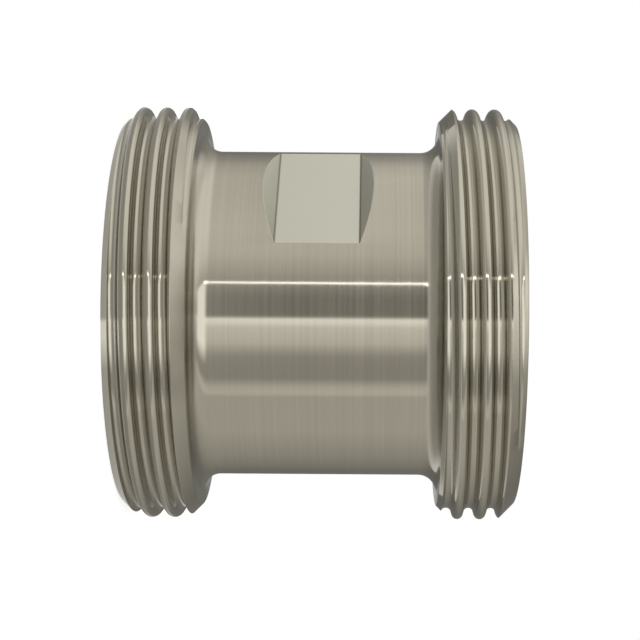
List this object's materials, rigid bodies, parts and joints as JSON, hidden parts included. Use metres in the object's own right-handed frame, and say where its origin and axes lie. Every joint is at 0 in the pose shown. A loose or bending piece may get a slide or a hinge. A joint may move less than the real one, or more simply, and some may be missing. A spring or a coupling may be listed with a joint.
{
  "type": "dairy pipe male coupling",
  "caption": "Turned stainless steel sanitary pipe union: a round-threaded male end on each side of a plain body with two spanner flats and a smooth through bore.",
  "frame": {"origin": "centre of the lower end face, on the axis of the bore", "axes": "+Z along the bore, from the lower end face to the upper one; +Y and -Y are the outward normals of the two spanner flats"},
  "size_m": [0.078, 0.078, 0.073],
  "materials": {
    "stainless_steel": "satin turned stainless steel with fine rings round the axis"
  },
  "bodies": {
    "root": {"coupling_body": "stainless_steel"}
  },
  "joints": []
}
